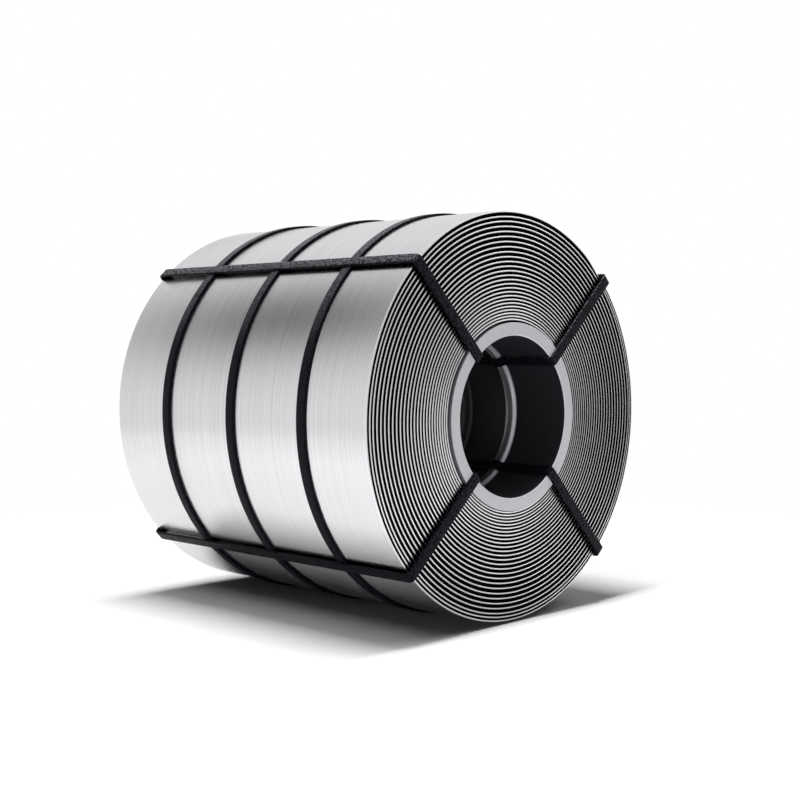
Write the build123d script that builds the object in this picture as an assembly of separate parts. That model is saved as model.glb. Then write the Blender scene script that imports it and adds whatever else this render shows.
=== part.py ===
from build123d import *
import os
from math import sqrt

# A wide coil of stainless steel strip, lying on its side with its eye level.
# The strip is wound on a thick steel sleeve. Three flat straps go round the coil
# like belts, and four more are looped through its eye.
# Everything is built about the coil's own axis, local Z, with the front end at
# zero, and is laid down as the last step.

# Driving dimensions, in millimetres and degrees.
# The real strip makes about 26 turns. The solid shows them as fewer, coarser rings.
strip_width = 1219
coil_outer_radius = 640
ring_count = 6
ring_groove_depth = 26
outer_ring_share = 1.6

sleeve_bore_radius = 254
sleeve_wall = 41
sleeve_proud_height = 7.5

bead_count = 5
bead_pitch = 195
bead_height = 9
bead_base_width = 48
bead_top_width = 20

strap_width = 34
strap_thickness = 8
seat_gap = 0.3

belt_count = 3
belt_pitch = 334
front_belt_gap = 253

eye_strap_count = 4
eye_strap_angle = 47
eye_strap_bend_radius = 10
full_turn_angle = 360

# Sizes that follow from them
sleeve_outer_radius = sleeve_bore_radius + sleeve_wall
coil_bore_radius = sleeve_outer_radius + seat_gap
belt_inner_radius = coil_outer_radius + seat_gap
belt_outer_radius = belt_inner_radius + strap_thickness
bead_crest_radius = sleeve_bore_radius - bead_height


def bead_middles():
    """Places of the sleeve's beads along the axis, spread evenly about the strip's middle."""
    first = (strip_width - (bead_count - 1) * bead_pitch) / 2
    return [first + bead * bead_pitch for bead in range(bead_count)]


def belt_middles():
    """Places of the belts along the axis, the first beyond a clear stretch of the front."""
    first = front_belt_gap + strap_width / 2
    return [first + belt * belt_pitch for belt in range(belt_count)]


def turned(points):
    """Turn a closed outline of (radius, place along the axis) points round the axis."""
    return revolve(Plane.XZ * make_face(Polyline(*points, close=True)), Axis.Z)


def ring_edges():
    """Radii of the rings' edges, from the outermost in: the turns lie closer near the sleeve."""
    steps = [
        outer_ring_share + (1 - outer_ring_share) * ring / (ring_count - 1)
        for ring in range(ring_count)
    ]
    scale = (coil_outer_radius - coil_bore_radius) / sum(steps)
    radii = [coil_outer_radius]
    for step in steps:
        radii.append(radii[-1] - step * scale)
    return radii


def end_outline(face, inward):
    """Points across one end of the coil, where every strip edge is a crest with a groove beside it."""
    radii = ring_edges()
    points = [(radii[0], face)]
    for outer, inner in zip(radii, radii[1:]):
        points.append(((outer + inner) / 2, face + inward * ring_groove_depth))
        points.append((inner, face))
    return points


def make_coil():
    """The wound strip, turned as one solid with its bore."""
    front = end_outline(0, 1)
    back = end_outline(strip_width, -1)
    return turned(front + back[::-1])


def over_beads(wall_radius, crest_radius):
    """Points along the bore, from the front to the back, over the raised beads."""
    points = []
    for middle in bead_middles():
        points.append((wall_radius, middle - bead_base_width / 2))
        points.append((crest_radius, middle - bead_top_width / 2))
        points.append((crest_radius, middle + bead_top_width / 2))
        points.append((wall_radius, middle + bead_base_width / 2))
    return points


def make_sleeve():
    """The sleeve that the strip is wound on, with stiffening beads raised in its bore."""
    front = -sleeve_proud_height
    back = strip_width + sleeve_proud_height
    points = [(sleeve_outer_radius, front), (sleeve_bore_radius, front)]
    points += over_beads(sleeve_bore_radius, bead_crest_radius)
    points += [(sleeve_bore_radius, back), (sleeve_outer_radius, back)]
    return turned(points)


def make_belt(middle):
    """A flat strap round the outside of the coil, its middle at a place along the axis."""
    low = middle - strap_width / 2
    high = middle + strap_width / 2
    return turned([
        (belt_inner_radius, low),
        (belt_outer_radius, low),
        (belt_outer_radius, high),
        (belt_inner_radius, high),
    ])


def flat_in_round(radius):
    """How far from the axis a flat strap lies when its two edges touch a round bore."""
    return sqrt((radius - seat_gap) ** 2 - (strap_width / 2) ** 2)


def eye_strap_seat():
    """The line that the inside of an eye strap follows round the coil's section."""
    front = -sleeve_proud_height - seat_gap
    back = strip_width + sleeve_proud_height + seat_gap
    outside = belt_outer_radius + seat_gap
    in_bore = flat_in_round(sleeve_bore_radius)
    points = [(outside, back), (outside, front), (in_bore, front)]
    points += over_beads(in_bore, flat_in_round(bead_crest_radius))
    points.append((in_bore, back))
    return points


def corners_beyond(face, radius):
    """The corners of an outline that lie further from the axis than a radius."""
    return ShapeList([corner for corner in face.vertices() if corner.X > radius])


def make_eye_strap():
    """A closed flat strap through the eye, over the beads, round both ends and over the belts."""
    seat = make_face(Polyline(*eye_strap_seat(), close=True))
    band = offset(seat, amount=strap_thickness, kind=Kind.INTERSECTION)
    seat = fillet(corners_beyond(seat, coil_outer_radius), radius=eye_strap_bend_radius)
    outer_bend = eye_strap_bend_radius + strap_thickness
    in_bore = [corner for corner in band.vertices() if corner.X < sleeve_bore_radius]
    mouths = ShapeList(in_bore).sort_by(Axis.Y)
    band = fillet([mouths[0], mouths[-1]], radius=strap_thickness)
    band = fillet(corners_beyond(band, coil_outer_radius), radius=outer_bend)
    return extrude(Plane.XZ * (band - seat), amount=strap_width / 2, both=True)


def laid_down(shape):
    """Lay the coil on the level floor on its belts, with its front end towards -Y."""
    start = (0, -strip_width / 2, belt_outer_radius)
    return Plane(origin=start, x_dir=(1, 0, 0), z_dir=(0, 1, 0)).location * shape


def make_parts():
    """Every piece of the coil by its name, standing on its front end."""
    parts = {"steel_coil": make_coil(), "core_sleeve": make_sleeve()}
    for number, middle in enumerate(belt_middles(), 1):
        parts[f"belt_strap_{number}"] = make_belt(middle)
    eye_strap = make_eye_strap()
    for strap in range(eye_strap_count):
        angle = eye_strap_angle + strap * full_turn_angle / eye_strap_count
        parts[f"eye_strap_{strap + 1}"] = Rot(0, 0, angle) * eye_strap
    return parts


os.makedirs("parts", exist_ok=True)
for name, shape in make_parts().items():
    export_step(laid_down(shape), f"parts/{name}.step")
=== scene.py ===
import math

import bpy
from mathutils import Matrix, Vector


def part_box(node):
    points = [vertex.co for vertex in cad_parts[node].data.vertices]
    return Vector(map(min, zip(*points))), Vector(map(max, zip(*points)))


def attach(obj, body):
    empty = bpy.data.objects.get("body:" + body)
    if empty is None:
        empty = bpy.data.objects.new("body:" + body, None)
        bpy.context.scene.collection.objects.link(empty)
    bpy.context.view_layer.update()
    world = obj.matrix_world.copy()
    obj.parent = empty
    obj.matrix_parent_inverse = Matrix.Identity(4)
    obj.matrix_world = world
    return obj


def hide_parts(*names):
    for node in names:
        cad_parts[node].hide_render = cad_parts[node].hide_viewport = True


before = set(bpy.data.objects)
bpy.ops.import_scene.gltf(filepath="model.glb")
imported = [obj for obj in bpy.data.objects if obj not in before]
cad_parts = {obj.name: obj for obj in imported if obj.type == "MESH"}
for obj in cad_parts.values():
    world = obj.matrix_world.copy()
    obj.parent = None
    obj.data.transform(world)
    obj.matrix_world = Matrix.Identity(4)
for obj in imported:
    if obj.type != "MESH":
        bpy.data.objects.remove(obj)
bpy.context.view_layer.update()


# The core sleeve is a thick steel ring, a little wider than the strip that is wound on it.
# It is rolled from plate, with stiffening beads pressed up round the inside of its bore.
# Its cut ends are light grey. Its bore is painted blue-black as painted shade, the bevel at its
# mouth is painted lighter as a painted highlight, and its outer side darker as painted shade. The
# beads nearest the ends are painted grey, with painted highlights on their shoulders.

sleeve_low, sleeve_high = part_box("core_sleeve")
axis_height = (sleeve_low.z + sleeve_high.z) / 2
sleeve_end = (sleeve_high.y - sleeve_low.y) / 2
sleeve_outer_radius = (sleeve_high.x - sleeve_low.x) / 2
sleeve_bore_radius = 0.254
sleeve_edge_radius = 0.0015
sleeve_edge_steps = 4
sleeve_mouth_bevel = 0.003
sleeve_round_steps = 192
sleeve_crease_angle = math.radians(40)
bead_count = 5
bead_pitch = 0.195
bead_height = 0.009
bead_base_width = 0.048
bead_top_width = 0.020
bead_slope_steps = 8
bead_highlight_steps = 2

sleeve_face_colour = (0.56, 0.55, 0.58)
mouth_highlight_colour = (0.72, 0.71, 0.73)
side_shade_colour = (0.22, 0.22, 0.24)
bore_shade_colour = (0.020, 0.020, 0.026)
lit_bead_colour = (0.50, 0.50, 0.54)
shoulder_highlight_colour = (0.90, 0.90, 0.93)


def feed(tree, socket, value):
    """Give a socket a value, or link it to another node's output."""
    if isinstance(value, bpy.types.NodeSocket):
        tree.links.new(value, socket)
    else:
        socket.default_value = value


def add_node(tree, kind, inputs=None, **settings):
    """Add a node to a tree, set it up and feed its inputs by their names or numbers."""
    node = tree.nodes.new(kind)
    for setting, value in settings.items():
        setattr(node, setting, value)
    for label, value in (inputs or {}).items():
        feed(tree, node.inputs[label], value)
    return node


def object_place(tree):
    """A place on the piece, in the piece's own coordinates."""
    return add_node(tree, "ShaderNodeTexCoord").outputs["Object"]


def blend_colours(tree, share, first, second):
    """A colour between two others, by a share or a pattern from 0 to 1."""
    inputs = {0: share, 6: first, 7: second}
    return add_node(tree, "ShaderNodeMix", inputs, data_type="RGBA").outputs[2]


def new_finish(name, colour, metallic, roughness):
    """A material with its shader set, and the tree and shader that its details are added to."""
    finish = bpy.data.materials.new(name)
    finish.use_nodes = True
    shader = finish.node_tree.nodes["Principled BSDF"]
    shader.inputs["Base Color"].default_value = (*colour, 1)
    shader.inputs["Metallic"].default_value = metallic
    shader.inputs["Roughness"].default_value = roughness
    return finish, finish.node_tree, shader


def stretched_noise(tree, scale, detail, stretch=(1, 1, 1)):
    """Noise on the piece's own coordinates, drawn out along some of its axes."""
    inputs = {"Vector": object_place(tree), "Scale": stretch}
    mapped = add_node(tree, "ShaderNodeMapping", inputs)
    inputs = {"Vector": mapped.outputs[0], "Scale": scale, "Detail": detail}
    return add_node(tree, "ShaderNodeTexNoise", inputs).outputs["Fac"]


def vary_colour(tree, shader, pattern, low, high):
    """Shade the base colour between two brightnesses of itself, by a pattern from 0 to 1."""
    colour = Vector(shader.inputs["Base Color"].default_value[:3])
    varied = blend_colours(tree, pattern, (*colour * low, 1), (*colour * high, 1))
    feed(tree, shader.inputs["Base Color"], varied)
    return varied


def add_bump(tree, shader, pattern, depth, strength=1):
    """Raise the surface by a pattern, to a depth in metres."""
    inputs = {"Height": pattern, "Distance": depth, "Strength": strength}
    bump = add_node(tree, "ShaderNodeBump", inputs)
    feed(tree, shader.inputs["Normal"], bump.outputs[0])


def painted_face(name, colour, roughness):
    """Satin grey steel with the faint mottle of a cut and cleaned face."""
    finish, tree, shader = new_finish(name, colour, metallic=0, roughness=roughness)
    mottle = stretched_noise(tree, scale=60, detail=5)
    vary_colour(tree, shader, mottle, low=0.94, high=1.06)
    grain = stretched_noise(tree, scale=700, detail=3)
    add_bump(tree, shader, grain, depth=0.0003, strength=0.3)
    return finish


def bore_finish(name, colour, metallic, roughness):
    """Steel with the fine grain of a rolled and oiled plate, painted near black as shade in the
    bore and lighter as light on the beads.
    """
    finish, tree, shader = new_finish(name, colour, metallic, roughness)
    mottle = stretched_noise(tree, scale=260, detail=4)
    vary_colour(tree, shader, mottle, low=0.7, high=1.3)
    grain = stretched_noise(tree, scale=420, detail=3)
    add_bump(tree, shader, grain, depth=0.0006, strength=0.4)
    return finish


def rounded_edge():
    """Points round the front edge of the sleeve's outside, as (radius, place along the axis)."""
    points = []
    for step in range(sleeve_edge_steps + 1):
        angle = math.radians(90 * step / sleeve_edge_steps)
        radial = sleeve_outer_radius - sleeve_edge_radius * (1 - math.cos(angle))
        points.append((radial, sleeve_edge_radius * (1 - math.sin(angle)) - sleeve_end))
    return points


def bead_middles():
    """The beads' places along the axis, spread evenly about the middle."""
    return [(bead - (bead_count - 1) / 2) * bead_pitch for bead in range(bead_count)]


def bead_points(middle):
    """Points over one bead in the bore, with the smooth slopes that rolling gives."""
    slope_width = (bead_base_width - bead_top_width) / 2
    rise = []
    for step in range(bead_slope_steps + 1):
        share = step / bead_slope_steps
        height = bead_height * share * share * (3 - 2 * share)
        rise.append((sleeve_bore_radius - height, slope_width * share - bead_base_width / 2))
    fall = [(radial, -place) for radial, place in reversed(rise)]
    return [(radial, middle + place) for radial, place in rise + fall]


def bead_finishes():
    """The finish of each face over a bead, with painted highlights on both sides of its crest."""
    crest = bead_slope_steps
    finishes = []
    for face in range(2 * bead_slope_steps + 1):
        highlighted = crest - bead_highlight_steps <= face <= crest + 1 and face != crest
        finishes.append("shoulder" if highlighted else "bead")
    return finishes + ["bore"]


def sleeve_outline():
    """Points round the sleeve's section, each with the finish of the face that starts there."""
    edge = rounded_edge()
    mouth = (sleeve_bore_radius + sleeve_mouth_bevel, -sleeve_end)
    in_bore = (sleeve_bore_radius, sleeve_mouth_bevel - sleeve_end)
    front = edge + [mouth, in_bore]
    back = [(radial, -place) for radial, place in reversed(front)]
    faces = ["face"] * len(edge)
    outline = list(zip(front, faces + ["mouth", "bore"]))
    for bead, middle in enumerate(bead_middles()):
        points = bead_points(middle)
        # Only the beads nearest the ends are painted lighter, as painted light from the mouths;
        # the others keep the bore's painted shade.
        near_an_end = bead in (0, bead_count - 1)
        finishes = bead_finishes() if near_an_end else ["bore"] * len(points)
        outline += zip(points, finishes)
    return outline + list(zip(back, ["mouth"] + faces + ["side"]))


def turned_mesh(name, outline, finishes, steps, crease_angle):
    """Turn a closed outline round the coil's axis, with a finish for each of its faces."""
    vertices = []
    for step in range(steps):
        angle = 2 * math.pi * step / steps
        for (radial, place), _ in outline:
            across = radial * math.cos(angle)
            vertices.append((across, place, axis_height + radial * math.sin(angle)))
    faces = []
    materials = []
    count = len(outline)
    names = list(finishes)
    for step in range(steps):
        here = step * count
        there = (step + 1) % steps * count
        for index, (_, finish) in enumerate(outline):
            following = (index + 1) % count
            faces.append((here + index, here + following, there + following, there + index))
            materials.append(names.index(finish))
    mesh = bpy.data.meshes.new(name)
    mesh.from_pydata(vertices, [], faces)
    for finish in finishes.values():
        mesh.materials.append(finish)
    mesh.polygons.foreach_set("material_index", materials)
    mesh.polygons.foreach_set("use_smooth", [True] * len(faces))
    mesh.set_sharp_from_angle(angle=crease_angle)
    return mesh


def show(name, mesh):
    """Put a finished mesh in the scene as a piece."""
    piece = bpy.data.objects.new(name, mesh)
    bpy.context.scene.collection.objects.link(piece)
    return piece


sleeve_finishes = {
    "face": painted_face("sleeve_face", sleeve_face_colour, roughness=0.45),
    # The mouth's bevel is painted lighter, as a painted highlight.
    "mouth": painted_face("sleeve_mouth", mouth_highlight_colour, roughness=0.3),
    # The outer side is painted darker, as painted shade.
    "side": painted_face("sleeve_side", side_shade_colour, roughness=0.45),
    # The bore is painted near black, as painted shade.
    "bore": bore_finish("sleeve_bore", bore_shade_colour, metallic=0, roughness=0.5),
    # The beads near the ends are painted grey, with painted highlights on their shoulders, as
    # painted light.
    "bead": bore_finish("sleeve_bead", lit_bead_colour, metallic=0.6, roughness=0.35),
    "shoulder": bore_finish("sleeve_shoulder", shoulder_highlight_colour, metallic=0.6, roughness=0.3),
}
sleeve_mesh = turned_mesh(
    "wound_core", sleeve_outline(), sleeve_finishes, sleeve_round_steps, sleeve_crease_angle
)
sleeve = show("wound_core", sleeve_mesh)
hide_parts("core_sleeve")
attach(sleeve, "root")


# The coil is one strip of cold rolled stainless steel, about 75 m long, wound on the sleeve.
# Its turns stand apart, wider outside than inside, and the strip ends under the upper right
# eye strap, where the turn below climbs out to become the outermost. Its slit edges shine.

coil_low, coil_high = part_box("steel_coil")
strip_width = coil_high.y - coil_low.y
coil_outer_radius = (coil_high.x - coil_low.x) / 2
strip_thickness = 0.006
fracture_radius = 0.001
rollover_radius = 0.0028
strip_edge_steps = 4
swept_crease_angle = math.radians(15)
seat_gap = 0.0003
open_depth = 0.08

turns_below = 25.5
turns_in_all = turns_below + 1
steps_per_turn = 128
tail_angle = math.radians(43)
climb_angle = math.radians(12)
first_pitch = 0.00899
pitch_growth = 0.000181
even_from_turn = 20.0
outer_pitch = 0.01546
last_pitch = 0.0091

# How far outwards a face looks: the strip's slit edge lies between these, and its body beyond.
edge_facing_share = -0.1
body_facing_share = 0.8

body_colour = (0.80, 0.795, 0.815)
edge_colour = (0.88, 0.88, 0.90)
# The faces between the turns are painted near black, as painted shade.
gap_shade_colour = (0.004, 0.004, 0.005)
wave_share = 0.3
eye_strap_first_angle = math.radians(-47)
# The body is painted dark just under the eye straps, as a painted shadow in the slit where they
# stand off it.
strap_shadow_colour = (0.02, 0.02, 0.025)
strap_shadow_width = 0.034
strap_shadow_fade = 0.004


def calc(tree, operation, *values):
    """One step of arithmetic in a tree."""
    inputs = dict(enumerate(values))
    return add_node(tree, "ShaderNodeMath", inputs, operation=operation).outputs[0]


def vector_calc(tree, operation, *values):
    """One step of vector arithmetic in a tree, whose result is a vector or one number."""
    inputs = dict(enumerate(values))
    outputs = add_node(tree, "ShaderNodeVectorMath", inputs, operation=operation).outputs
    gives_a_number = operation in ("DOT_PRODUCT", "DISTANCE", "LENGTH")
    return outputs["Value"] if gives_a_number else outputs["Vector"]


def vector_of(tree, **numbers):
    """A vector of the numbers that are given as X, Y and Z, and nought for the others."""
    return add_node(tree, "ShaderNodeCombineXYZ", numbers).outputs[0]


def numbers_of(tree, vector):
    """The numbers X, Y and Z of a vector."""
    return add_node(tree, "ShaderNodeSeparateXYZ", {0: vector}).outputs


def sharpened(tree, pattern, low, high):
    """A pattern with its middle range drawn out to the whole of 0 to 1."""
    inputs = {"Value": pattern, "From Min": low, "From Max": high}
    return add_node(tree, "ShaderNodeMapRange", inputs).outputs[0]


def smooth_step(tree, value, start, end):
    """Nought before the start and one beyond the end, with a smooth climb between them."""
    inputs = {"Value": value, "From Min": start, "From Max": end}
    return add_node(tree, "ShaderNodeMapRange", inputs, interpolation_type="SMOOTHSTEP").outputs[0]


def from_axis(tree, place):
    """The direction straight out from the coil's axis at a place."""
    offset = vector_calc(tree, "ADD", place, (0, 0, -axis_height))
    flat = vector_calc(tree, "MULTIPLY", offset, (1, 0, 1))
    return vector_calc(tree, "NORMALIZE", flat)


def under_eye_straps(tree):
    """One beneath the four eye straps, where the body's painted shadow goes, fading to nought just
    beside them.
    """
    inputs = {
        "Vector": object_place(tree),
        "Location": (0, 0, axis_height),
        "Rotation": (0, -eye_strap_first_angle, 0),
    }
    turned = add_node(tree, "ShaderNodeMapping", inputs, vector_type="TEXTURE").outputs[0]
    numbers = numbers_of(tree, turned)
    from_two = calc(tree, "ABSOLUTE", numbers["X"])
    from_other_two = calc(tree, "ABSOLUTE", numbers["Z"])
    aside = calc(tree, "MINIMUM", from_two, from_other_two)
    half_width = strap_shadow_width / 2
    return sharpened(tree, aside, half_width + strap_shadow_fade, half_width)


def brushed_body():
    """Satin steel with fine brushed lines round the coil, painted dark under the eye straps as
    painted shadow.
    """
    finish, tree, shader = new_finish("strip_body", body_colour, metallic=1, roughness=0.24)
    place = object_place(tree)
    inputs = {"Vector": place, "Scale": 36, "Distortion": 4, "Detail": 1, "Detail Scale": 0.3}
    wave = add_node(tree, "ShaderNodeTexWave", inputs, bands_direction="Y").outputs["Fac"]
    fine = stretched_noise(tree, scale=1, detail=1, stretch=(0.5, 240, 0.5))
    lines = calc(tree, "MULTIPLY_ADD", wave, wave_share, fine)
    brushed = sharpened(tree, lines, low=0.4, high=0.9)
    lined_colour = vary_colour(tree, shader, brushed, low=0.93, high=1.07)
    # Paint the shadow of the eye straps on the body.
    shadowed_colour = blend_colours(tree, under_eye_straps(tree), lined_colour, (*strap_shadow_colour, 1))
    feed(tree, shader.inputs["Base Color"], shadowed_colour)
    add_bump(tree, shader, lines, depth=0.00025)
    shader.inputs["Anisotropic"].default_value = 0.4
    feed(tree, shader.inputs["Tangent"], vector_of(tree, Y=1))
    return finish


def slit_edge():
    """The bright slit edge of the strip, with the marks of the slitter's knives along it."""
    finish, tree, shader = new_finish("strip_edge", edge_colour, metallic=1, roughness=0.3)
    marks = stretched_noise(tree, scale=14, detail=3)
    vary_colour(tree, shader, marks, low=0.9, high=1.08)
    shader.inputs["Anisotropic"].default_value = 0.6
    feed(tree, shader.inputs["Tangent"], from_axis(tree, object_place(tree)))
    return finish


def gap_shade():
    """The faces between the turns, painted near black as painted shade, with a faint mottle."""
    finish, tree, shader = new_finish("strip_gap", gap_shade_colour, metallic=0, roughness=0.6)
    shader.inputs["Specular IOR Level"].default_value = 0.05
    shade_mottle = stretched_noise(tree, scale=30, detail=3)
    vary_colour(tree, shader, shade_mottle, low=0.7, high=1.3)
    return finish


def new_tree(name, sizes):
    """A Geometry Nodes tree with a named input for each size, and its inputs' sockets."""
    tree = bpy.data.node_groups.new(name, "GeometryNodeTree")
    kinds = {
        float: "NodeSocketFloat",
        int: "NodeSocketInt",
        bpy.types.Material: "NodeSocketMaterial",
        bpy.types.Mesh: "NodeSocketGeometry",
    }
    for label, value in sizes.items():
        tree.interface.new_socket(label, in_out="INPUT", socket_type=kinds[type(value)])
    tree.interface.new_socket("Geometry", in_out="OUTPUT", socket_type="NodeSocketGeometry")
    return tree, tree.nodes.new("NodeGroupInput").outputs


def grow(name, tree, sizes):
    """Run a tree with its sizes, and keep the result as a plain mesh with smooth rounds."""
    source = show(name, sizes.get("Path") or bpy.data.meshes.new(name))
    modifier = source.modifiers.new("tree", "NODES")
    modifier.node_group = tree
    for socket in tree.interface.items_tree:
        if socket.in_out == "INPUT" and socket.name != "Path":
            modifier[socket.identifier] = sizes[socket.name]
    depsgraph = bpy.context.evaluated_depsgraph_get()
    mesh = bpy.data.meshes.new_from_object(source.evaluated_get(depsgraph))
    source.modifiers.clear()
    source.data = mesh
    mesh.name = name
    mesh.set_sharp_from_angle(angle=swept_crease_angle)
    return source


def read_number(tree, label):
    """A number that the mesh or the curve carries under a name."""
    inputs = {"Name": label}
    return add_node(tree, "GeometryNodeInputNamedAttribute", inputs, data_type="FLOAT").outputs[0]


def compare(tree, operation, first, second):
    """A test of two numbers, on each face or point."""
    inputs = {0: first, 1: second}
    settings = {"data_type": "FLOAT", "operation": operation}
    return add_node(tree, "FunctionNodeCompare", inputs, **settings).outputs[0]


def both(tree, first, second):
    """Whether two tests both hold."""
    return add_node(tree, "FunctionNodeBooleanMath", {0: first, 1: second}).outputs[0]


def spiral_radius(tree, sizes, turn):
    """The middle of the strip's thickness, as it winds outwards turn by turn."""
    below = calc(tree, "MINIMUM", turn, sizes["Turns Below"])
    widening = calc(tree, "MINIMUM", below, sizes["Even From Turn"])
    squared = calc(tree, "MULTIPLY", widening, widening)
    growth = calc(tree, "MULTIPLY", squared, sizes["Pitch Growth"])
    inner = calc(tree, "MULTIPLY_ADD", widening, sizes["First Pitch"], growth)
    even = calc(tree, "SUBTRACT", below, widening)
    outer = calc(tree, "MULTIPLY", even, sizes["Outer Pitch"])
    last_start = calc(tree, "SUBTRACT", sizes["Turns Below"], 1.0)
    past_start = calc(tree, "SUBTRACT", below, last_start)
    last = calc(tree, "MAXIMUM", past_start, 0.0)
    closer = calc(tree, "SUBTRACT", sizes["Outer Pitch"], sizes["Last Pitch"])
    closing = calc(tree, "MULTIPLY", last, closer)
    wound = calc(tree, "ADD", inner, outer)
    wound = calc(tree, "ADD", sizes["Core Radius"], wound)
    wound = calc(tree, "SUBTRACT", wound, closing)
    climb_end = calc(tree, "ADD", sizes["Turns Below"], sizes["Climb Turns"])
    climb = smooth_step(tree, turn, sizes["Turns Below"], climb_end)
    left_to_climb = calc(tree, "SUBTRACT", sizes["Outermost Radius"], wound)
    return calc(tree, "MULTIPLY_ADD", climb, left_to_climb, wound)


def spiral_line(tree, sizes):
    """The strip's path in the plane of the coil's end, as a curve that knows its turns."""
    steps = calc(tree, "MULTIPLY", sizes["Turns"], sizes["Steps per Turn"])
    count = calc(tree, "ADD", calc(tree, "ROUND", steps), 1)
    straight = add_node(tree, "GeometryNodeCurvePrimitiveLine").outputs[0]
    inputs = {"Curve": straight, "Count": count}
    line = add_node(tree, "GeometryNodeResampleCurve", inputs).outputs[0]
    index = add_node(tree, "GeometryNodeInputIndex").outputs[0]
    turn = calc(tree, "DIVIDE", index, sizes["Steps per Turn"])
    angle = calc(tree, "MULTIPLY_ADD", turn, 2 * math.pi, sizes["Start Angle"])
    radius = spiral_radius(tree, sizes, turn)
    across = calc(tree, "MULTIPLY", radius, calc(tree, "COSINE", angle))
    up = calc(tree, "MULTIPLY", radius, calc(tree, "SINE", angle))
    inputs = {"Geometry": line, "Position": vector_of(tree, X=across, Y=up)}
    bent = add_node(tree, "GeometryNodeSetPosition", inputs).outputs[0]
    inputs = {"Geometry": bent, "Name": "turn", "Value": turn}
    settings = {"data_type": "FLOAT", "domain": "POINT"}
    return add_node(tree, "GeometryNodeStoreNamedAttribute", inputs, **settings).outputs[0]


def plain_section(tree, thickness, width):
    """The outline of a flat band's section, with square corners."""
    inputs = {"Width": thickness, "Height": width}
    return add_node(tree, "GeometryNodeCurvePrimitiveQuadrilateral", inputs).outputs[0]


def rounded_section(tree, sizes, inner_radius, outer_radius):
    """The outline of a flat band's section, with its inner and outer edges rounded."""
    section = plain_section(tree, sizes["Thickness"], sizes["Width"])
    place = add_node(tree, "GeometryNodeInputPosition").outputs[0]
    is_outer = compare(tree, "GREATER_THAN", numbers_of(tree, place)["X"], 0.0)
    radii = {"Switch": is_outer, "False": inner_radius, "True": outer_radius}
    radius = add_node(tree, "GeometryNodeSwitch", radii, input_type="FLOAT").outputs[0]
    inputs = {"Curve": section, "Radius": radius, "Count": sizes["Edge Steps"]}
    return add_node(tree, "GeometryNodeFilletCurve", inputs, mode="POLY").outputs[0]


def swept(tree, line, section):
    """Sweep a section along a flat line, with its ends closed and its rounds shaded smooth."""
    line = add_node(tree, "GeometryNodeSetCurveNormal", {"Curve": line}, mode="Z_UP").outputs[0]
    inputs = {"Curve": line, "Profile Curve": section, "Fill Caps": True}
    solid = add_node(tree, "GeometryNodeCurveToMesh", inputs).outputs[0]
    inputs = {"Geometry": solid, "Shade Smooth": True}
    return add_node(tree, "GeometryNodeSetShadeSmooth", inputs).outputs[0]


def swept_round(tree, steps, radius, section):
    """Sweep a section round a circle."""
    inputs = {"Resolution": steps, "Radius": radius}
    ring = add_node(tree, "GeometryNodeCurvePrimitiveCircle", inputs).outputs[0]
    return swept(tree, ring, section)


def moved(tree, solid, **placing):
    """Turn a solid by its Rotation, and then shift it by its Translation."""
    return add_node(tree, "GeometryNodeTransform", {"Geometry": solid, **placing}).outputs[0]


def laid_down(tree, solid, height):
    """Turn what was built upright so that its axis lies level, at a height."""
    lift = vector_of(tree, Z=height)
    return moved(tree, solid, Translation=lift, Rotation=(math.pi / 2, 0, 0))


def finish_faces(tree, solid, *finishes):
    """End a tree: realize it and set its materials, each on the faces that are chosen for it."""
    solid = add_node(tree, "GeometryNodeRealizeInstances", {"Geometry": solid}).outputs[0]
    for material, chosen in finishes:
        inputs = {"Geometry": solid, "Selection": chosen, "Material": material}
        solid = add_node(tree, "GeometryNodeSetMaterial", inputs).outputs[0]
    add_node(tree, "NodeGroupOutput", {"Geometry": solid})


def inner_turns(tree, sizes):
    """The turns away from the ends, which bear on each other and let no light through."""
    section = plain_section(tree, sizes["Packed Thickness"], sizes["Packed Width"])
    return swept_round(tree, sizes["Steps per Turn"], sizes["Packed Radius"], section)


def strip_tree(sizes):
    """The whole strip: its spiral, its section and its three finishes."""
    tree, inputs = new_tree("wound_strip", sizes)
    edges = inputs["Fracture Radius"], inputs["Rollover Radius"]
    section = rounded_section(tree, inputs, *edges)
    joined = add_node(tree, "GeometryNodeJoinGeometry")
    for solid in inner_turns(tree, inputs), swept(tree, spiral_line(tree, inputs), section):
        feed(tree, joined.inputs[0], solid)
    solid = laid_down(tree, joined.outputs[0], inputs["Axis Height"])
    normal = add_node(tree, "GeometryNodeInputNormal").outputs[0]
    place = add_node(tree, "GeometryNodeInputPosition").outputs[0]
    facing = vector_calc(tree, "DOT_PRODUCT", normal, from_axis(tree, place))
    past_inside = compare(tree, "GREATER_THAN", facing, edge_facing_share)
    before_body = compare(tree, "LESS_THAN", facing, body_facing_share)
    looks_out = compare(tree, "GREATER_THAN", facing, body_facing_share)
    turn = read_number(tree, "turn")
    is_strip = compare(tree, "GREATER_THAN", turn, 0.0)
    outermost = compare(tree, "GREATER_THAN", turn, inputs["Turns Below"])
    is_edge = both(tree, both(tree, past_inside, before_body), is_strip)
    is_body = both(tree, outermost, looks_out)
    finish_faces(
        tree,
        solid,
        (inputs["Gap Finish"], True),
        (inputs["Edge Finish"], is_edge),
        (inputs["Body Finish"], is_body),
    )
    return tree


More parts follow.
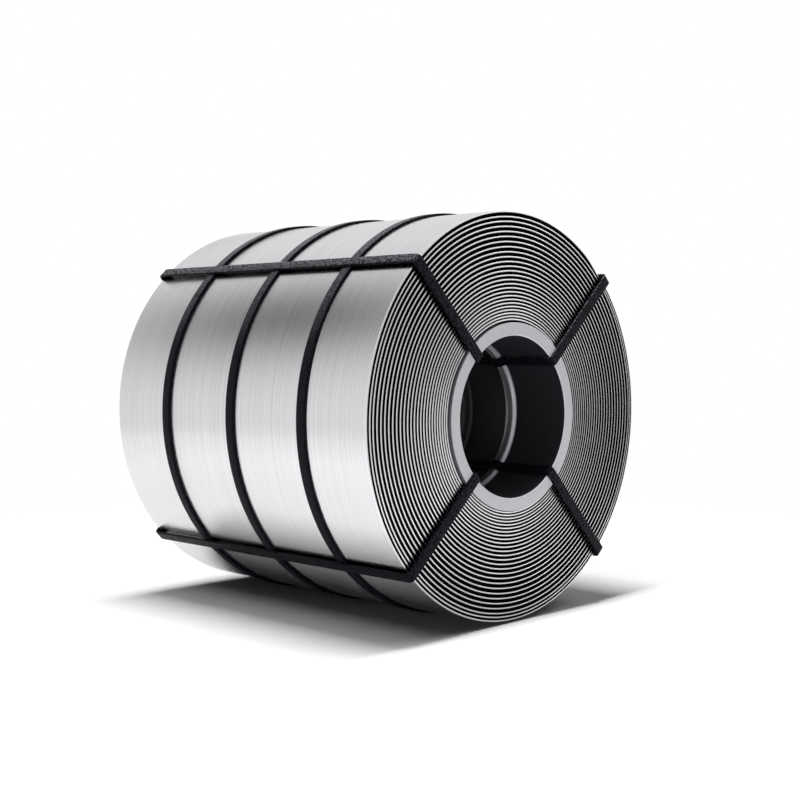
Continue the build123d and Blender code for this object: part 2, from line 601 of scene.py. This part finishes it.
first_turn_radius = sleeve_outer_radius + seat_gap + strip_thickness / 2
packed_outer_radius = coil_outer_radius - strip_thickness - seat_gap
strip_sizes = {
    "Turns": turns_in_all,
    "Turns Below": turns_below,
    "Steps per Turn": steps_per_turn,
    # The turns are a whole number and a half, so the strip starts opposite its tail.
    "Start Angle": tail_angle + math.pi,
    "Core Radius": first_turn_radius,
    "First Pitch": first_pitch,
    "Pitch Growth": pitch_growth,
    "Even From Turn": even_from_turn,
    "Outer Pitch": outer_pitch,
    "Last Pitch": last_pitch,
    "Outermost Radius": coil_outer_radius - strip_thickness / 2,
    "Climb Turns": climb_angle / (2 * math.pi),
    "Thickness": strip_thickness,
    "Width": strip_width,
    "Packed Radius": (first_turn_radius + packed_outer_radius) / 2,
    "Packed Thickness": packed_outer_radius - first_turn_radius,
    "Packed Width": strip_width - 2 * open_depth,
    "Fracture Radius": fracture_radius,
    "Rollover Radius": rollover_radius,
    "Edge Steps": strip_edge_steps,
    "Axis Height": axis_height,
    "Body Finish": brushed_body(),
    "Edge Finish": slit_edge(),
    "Gap Finish": gap_shade(),
}
strip = grow("wound_strip", strip_tree(strip_sizes), strip_sizes)
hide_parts("steel_coil")
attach(strip, "root")


# Three belts hold the coil together, pulled tight round its body. Each is a flat band of
# blue-black plastic with a fine pebbled skin, whose grains are painted lighter where it faces up,
# as painted light from above. Its joint isn't seen.

belt_names = sorted(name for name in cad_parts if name.startswith("belt_strap"))
belt_low, belt_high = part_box(belt_names[0])
belt_outer_radius = (belt_high.x - belt_low.x) / 2
strap_width = belt_high.y - belt_low.y
strap_thickness = belt_outer_radius - coil_outer_radius - seat_gap
strap_edge_radius = 0.0015
strap_edge_steps = 3
belt_round_steps = 192
belt_grain_size = 0.0035
belt_grain_depth = 0.001

strap_colour = (0.004, 0.004, 0.0075)
# The grains of the upper faces are painted lighter, as painted light from above.
top_light_colour = (0.21, 0.206, 0.235)
top_light_start_upward_share = 0.35
top_light_full_upward_share = 0.85


def strap_finish(name, grain_size, grain_depth):
    """Blue-black plastic with a pebbled skin, its grains painted lighter where it faces up on the
    upper half, as painted light from above.
    """
    finish, tree, shader = new_finish(name, strap_colour, metallic=0, roughness=0.4)
    shader.inputs["Specular IOR Level"].default_value = 0.07
    noise = stretched_noise(tree, scale=1 / grain_size, detail=1)
    grain = sharpened(tree, noise, low=0.4, high=0.6)
    bare = vary_colour(tree, shader, grain, low=0.0, high=2.4)
    normal = add_node(tree, "ShaderNodeNewGeometry").outputs["Normal"]
    upward = numbers_of(tree, normal)["Z"]
    level = sharpened(tree, upward, top_light_start_upward_share, top_light_full_upward_share)
    height = numbers_of(tree, object_place(tree))["Z"]
    on_top = calc(tree, "GREATER_THAN", height, axis_height)
    lit_grain = calc(tree, "MULTIPLY", on_top, grain)
    top_light_share = calc(tree, "MULTIPLY", level, lit_grain)
    top_lit_colour = blend_colours(tree, top_light_share, bare, (*top_light_colour, 1))
    feed(tree, shader.inputs["Base Color"], top_lit_colour)
    add_bump(tree, shader, grain, grain_depth, strength=0.7)
    return finish


def belt_tree(sizes):
    """A flat band swept round the coil, at a place along it."""
    tree, inputs = new_tree("belt", sizes)
    section = rounded_section(tree, inputs, inputs["Edge Radius"], inputs["Edge Radius"])
    ring = swept_round(tree, inputs["Steps"], inputs["Radius"], section)
    solid = laid_down(tree, ring, inputs["Axis Height"])
    solid = moved(tree, solid, Translation=vector_of(tree, Y=inputs["Place"]))
    finish_faces(tree, solid, (inputs["Finish"], True))
    return tree


belt_sizes = {
    "Steps": belt_round_steps,
    "Radius": belt_outer_radius - strap_thickness / 2,
    "Thickness": strap_thickness,
    "Width": strap_width,
    "Edge Radius": strap_edge_radius,
    "Edge Steps": strap_edge_steps,
    "Axis Height": axis_height,
    "Place": 0.0,
    "Finish": strap_finish("belt_skin", belt_grain_size, belt_grain_depth),
}
belt_group = belt_tree(belt_sizes)
for node_name in belt_names:
    belt_low, belt_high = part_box(node_name)
    belt_sizes["Place"] = (belt_low.y + belt_high.y) / 2
    belt = grow(node_name.replace("_strap", ""), belt_group, belt_sizes)
    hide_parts(node_name)
    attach(belt, "root")


# Four more straps of the same band are looped through the eye, a quarter turn apart. Each
# runs along the body over the belts, bends down both ends and back along the bore, where
# it rides over the sleeve's beads.

eye_strap_count = 4
rim_bend_radius = 0.014
mouth_bend_radius = 0.006
bead_bend_radius = 0.012
bend_steps = 8
eye_strap_grain_size = 0.007
eye_strap_grain_depth = 0.003


def flat_in_round(radius):
    """How far from the axis the middle of a flat strap lies, when its edges touch a round bore."""
    return math.sqrt((radius - seat_gap) ** 2 - (strap_width / 2) ** 2) - strap_thickness / 2


def eye_strap_path():
    """Corners of the strap's middle line as (place along the axis, radius), each with its bend."""
    outside = belt_outer_radius + seat_gap + strap_thickness / 2
    end = sleeve_end + seat_gap + strap_thickness / 2
    wall = flat_in_round(sleeve_bore_radius)
    crest = flat_in_round(sleeve_bore_radius - bead_height)
    path = [((end, outside), rim_bend_radius), ((-end, outside), rim_bend_radius)]
    path.append(((-end, wall), mouth_bend_radius))
    for middle in bead_middles():
        path.append(((middle - bead_base_width / 2, wall), bead_bend_radius))
        path.append(((middle - bead_top_width / 2, crest), bead_bend_radius))
        path.append(((middle + bead_top_width / 2, crest), bead_bend_radius))
        path.append(((middle + bead_base_width / 2, wall), bead_bend_radius))
    path.append(((end, wall), mouth_bend_radius))
    return path


def path_mesh(name, path):
    """A closed line of edges through the path's corners, which carries their bends."""
    count = len(path)
    mesh = bpy.data.meshes.new(name)
    edges = [(index, (index + 1) % count) for index in range(count)]
    mesh.from_pydata([(place, radial, 0) for (place, radial), _ in path], edges, [])
    bends = mesh.attributes.new("bend", "FLOAT", "POINT")
    bends.data.foreach_set("value", [bend for _, bend in path])
    return mesh


def eye_strap_tree(sizes):
    """A flat band swept along its looped path, then turned to its place round the axis."""
    tree, inputs = new_tree("eye_strap", sizes)
    corners = add_node(tree, "GeometryNodeMeshToCurve", {"Mesh": inputs["Path"]}).outputs[0]
    bend = read_number(tree, "bend")
    bends = {"Curve": corners, "Radius": bend, "Count": inputs["Bend Steps"]}
    line = add_node(tree, "GeometryNodeFilletCurve", bends, mode="POLY").outputs[0]
    section = rounded_section(tree, inputs, inputs["Edge Radius"], inputs["Edge Radius"])
    upright = moved(tree, swept(tree, line, section), Rotation=(math.pi, 0, math.pi / 2))
    turn = vector_of(tree, Y=calc(tree, "MULTIPLY", inputs["Angle"], -1))
    lift = vector_of(tree, Z=inputs["Axis Height"])
    solid = moved(tree, upright, Rotation=turn, Translation=lift)
    finish_faces(tree, solid, (inputs["Finish"], True))
    return tree


def nearest_node(piece, start):
    """The name of the CAD node nearest to a piece, among those whose names start alike."""
    corners = [vertex.co for vertex in piece.data.vertices]
    middle = sum(corners, Vector()) / len(corners)
    distances = {}
    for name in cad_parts:
        if name.startswith(start):
            low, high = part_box(name)
            distances[name] = ((low + high) / 2 - middle).length
    return min(distances, key=distances.get)


eye_strap_sizes = {
    "Path": path_mesh("eye_strap_path", eye_strap_path()),
    "Bend Steps": bend_steps,
    "Thickness": strap_thickness,
    "Width": strap_width,
    "Edge Radius": strap_edge_radius,
    "Edge Steps": strap_edge_steps,
    "Axis Height": axis_height,
    "Angle": 0.0,
    "Finish": strap_finish("eye_strap_skin", eye_strap_grain_size, eye_strap_grain_depth),
}
eye_strap_group = eye_strap_tree(eye_strap_sizes)
for number in range(eye_strap_count):
    eye_strap_sizes["Angle"] = eye_strap_first_angle - number * 2 * math.pi / eye_strap_count
    eye_strap = grow(f"eye_loop_{number + 1}", eye_strap_group, eye_strap_sizes)
    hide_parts(nearest_node(eye_strap, "eye_strap"))
    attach(eye_strap, "root")


# The floor is plain and white, and fades into an even white backdrop further out. It keeps
# the coil's shadow. Reflections also see a soft dark card on it, in front of the coil, and
# rays that left the floor and came back off the metal count for little.

floor_radius = 4.0
floor_steps = 96
floor_brightness = 0.9
floor_seen_gain = 1.30
backdrop_start = 1.7
backdrop_full = 3.0
second_bounce_share = 0.03
floor_card_middle = (-0.05, -0.95, 0)
floor_card_radius = 0.75
floor_card_shade_share = 0.8


def ray_kinds(tree):
    """What kind of ray looks at the surface."""
    return add_node(tree, "ShaderNodeLightPath").outputs


def bounce_share(tree):
    """One for most rays, and less for those that left the floor and came back off the metal."""
    rays = ray_kinds(tree)
    bounced = calc(tree, "MINIMUM", rays["Diffuse Depth"], 1.0)
    again = calc(tree, "MULTIPLY", rays["Is Glossy Ray"], bounced)
    return calc(tree, "MULTIPLY_ADD", again, second_bounce_share - 1, 1.0)


def beside_card(tree, place):
    """The share of light that reflections see on the floor, less towards the card's middle."""
    off_card = vector_calc(tree, "DISTANCE", place, floor_card_middle)
    card = sharpened(tree, off_card, floor_card_radius, 0.0)
    seen_card = calc(tree, "MULTIPLY", card, ray_kinds(tree)["Is Glossy Ray"])
    return calc(tree, "MULTIPLY_ADD", seen_card, -floor_card_shade_share, 1.0)


def white_floor(name):
    """A white floor that keeps the shadow, and turns into an even white backdrop further out."""
    finish = bpy.data.materials.new(name)
    finish.use_nodes = True
    tree = finish.node_tree
    tree.nodes.remove(tree.nodes["Principled BSDF"])
    place = object_place(tree)
    share = calc(tree, "MULTIPLY", bounce_share(tree), beside_card(tree, place))
    rays = ray_kinds(tree)
    seen = calc(tree, "MAXIMUM", rays["Is Camera Ray"], rays["Is Glossy Ray"])
    gain = calc(tree, "MULTIPLY_ADD", seen, floor_seen_gain - 1, 1.0)
    brightness = calc(tree, "MULTIPLY", gain, floor_brightness)
    level = calc(tree, "MULTIPLY", brightness, share)
    grey = {"Red": level, "Green": level, "Blue": level}
    colour = add_node(tree, "ShaderNodeCombineColor", grey).outputs[0]
    near = add_node(tree, "ShaderNodeBsdfDiffuse", {"Color": colour}).outputs[0]
    backdrop = {"Color": (1, 1, 1, 1), "Strength": share}
    far = add_node(tree, "ShaderNodeEmission", backdrop).outputs[0]
    away = vector_calc(tree, "LENGTH", place)
    fade = smooth_step(tree, away, backdrop_start, backdrop_full)
    mixed = add_node(tree, "ShaderNodeMixShader", {0: fade, 1: near, 2: far}).outputs[0]
    feed(tree, tree.nodes["Material Output"].inputs["Surface"], mixed)
    return finish


floor_corners = []
for step in range(floor_steps):
    angle = 2 * math.pi * step / floor_steps
    floor_corners.append((floor_radius * math.cos(angle), floor_radius * math.sin(angle), 0))
floor_mesh = bpy.data.meshes.new("floor")
floor_mesh.from_pydata(floor_corners, [], [tuple(range(floor_steps))])
floor_mesh.materials.append(white_floor("floor_white"))
show("floor", floor_mesh)


# The surround is white. In its reflections, soft cards shade parts of it and so give the
# metal its bands, and a shade below nought brightens a part. It lights matt faces little.

world_light = 0.03
sky_shine = 0.84
cards = [
    {"centre": (-0.39, 0.71, 0.59), "spread": 0.06, "shade": 0.86},
    {"centre": (0.0, -0.82, 0.55), "spread": 0.08, "shade": 0.60},
    {"centre": (0.70, -0.71, -0.05), "spread": 0.03, "shade": 0.85},
    {"centre": (0.99, -0.10, -0.03), "spread": 0.03, "shade": 0.80},
    {"centre": (0.87, -0.33, 0.36), "spread": 0.07, "shade": -1.30},
    {"centre": (-0.10, -0.99, -0.08), "spread": 0.05, "shade": -0.50},
]


def shade_card(tree, direction, centre, spread, shade):
    """How much of the light is left near a soft card, which fades out to all sides."""
    aim = Vector(centre).normalized()
    towards = vector_calc(tree, "DOT_PRODUCT", direction, aim)
    aside = calc(tree, "SUBTRACT", towards, 1.0)
    fading = calc(tree, "EXPONENT", calc(tree, "DIVIDE", aside, spread))
    return calc(tree, "MULTIPLY_ADD", fading, -shade, 1.0)


def choose(tree, share, first, second):
    """The first number where the share is nought, and the second where it is one."""
    inputs = {0: share, 2: first, 3: second}
    return add_node(tree, "ShaderNodeMix", inputs, data_type="FLOAT").outputs[0]


world = bpy.data.worlds.new("surround")
bpy.context.scene.world = world
world.use_nodes = True
world_tree = world.node_tree
direction = add_node(world_tree, "ShaderNodeTexCoord").outputs["Generated"]
shine = calc(world_tree, "MULTIPLY", bounce_share(world_tree), sky_shine)
for card in cards:
    left_over = shade_card(world_tree, direction, **card)
    shine = calc(world_tree, "MULTIPLY", shine, left_over)
rays = ray_kinds(world_tree)
lit = choose(world_tree, rays["Is Glossy Ray"], world_light, shine)
level = choose(world_tree, rays["Is Camera Ray"], lit, 1.0)
background = world_tree.nodes["Background"]
background.inputs["Color"].default_value = (1, 1, 1, 1)
feed(world_tree, background.inputs["Strength"], level)


# Two long lamps hang far above, square to the coil's axis, and give the shadow its soft
# sides and its firmer ends. A lamp on the right lightens it, and one in front lights the end.

front_end = (0, -sleeve_end, 0)


def lamp(name, direction, distance, width, height, level):
    """A soft lamp that lights a white surface facing it, at the front end, to a level.

    When it hangs overhead, its width lies along the coil and its height across it.
    """
    light = bpy.data.lights.new(name, "AREA")
    light.shape = "RECTANGLE"
    light.size = width
    light.size_y = height
    light.energy = level * (math.pi * distance) ** 2
    holder = bpy.data.objects.new(name, light)
    holder.visible_glossy = False
    bpy.context.scene.collection.objects.link(holder)
    towards = Vector(direction).normalized()
    holder.location = Vector(front_end) + towards * distance
    holder.rotation_euler = towards.to_track_quat("Z", "Y").to_euler()


lamp("overhead_lamp", (-0.06, 0, 1), distance=30.0, width=3.6, height=13.1, level=0.68)
lamp("left_lamp", (-0.58, 0, 1), distance=30.0, width=3.6, height=18.8, level=0.22)
lamp("right_lamp", (0.6, -0.4, 1), distance=8.0, width=4.0, height=4.0, level=0.14)
lamp("front_lamp", (-0.1, -1, 0.03), distance=8.0, width=4.0, height=0.3, level=0.40)


# The camera stands to the left of the coil's front end and looks a little down, as in the photo.

camera_place = (-3.1952, -3.2712, 0.9039)
camera_heading = math.radians(45.323)
camera_tilt = math.radians(2.786)
camera_roll = math.radians(-0.218)
camera_lens = 59.78

camera = bpy.data.objects.new("camera", bpy.data.cameras.new("camera"))
camera.data.lens = camera_lens
turn_to_heading = Matrix.Rotation(-camera_heading, 4, "Z")
tilt_down = Matrix.Rotation(math.radians(90) - camera_tilt, 4, "X")
roll_over = Matrix.Rotation(camera_roll, 4, "Z")
camera.matrix_world = Matrix.Translation(camera_place) @ turn_to_heading @ tilt_down @ roll_over
bpy.context.scene.collection.objects.link(camera)
bpy.context.scene.camera = camera
bpy.context.scene.view_settings.view_transform = "Standard"
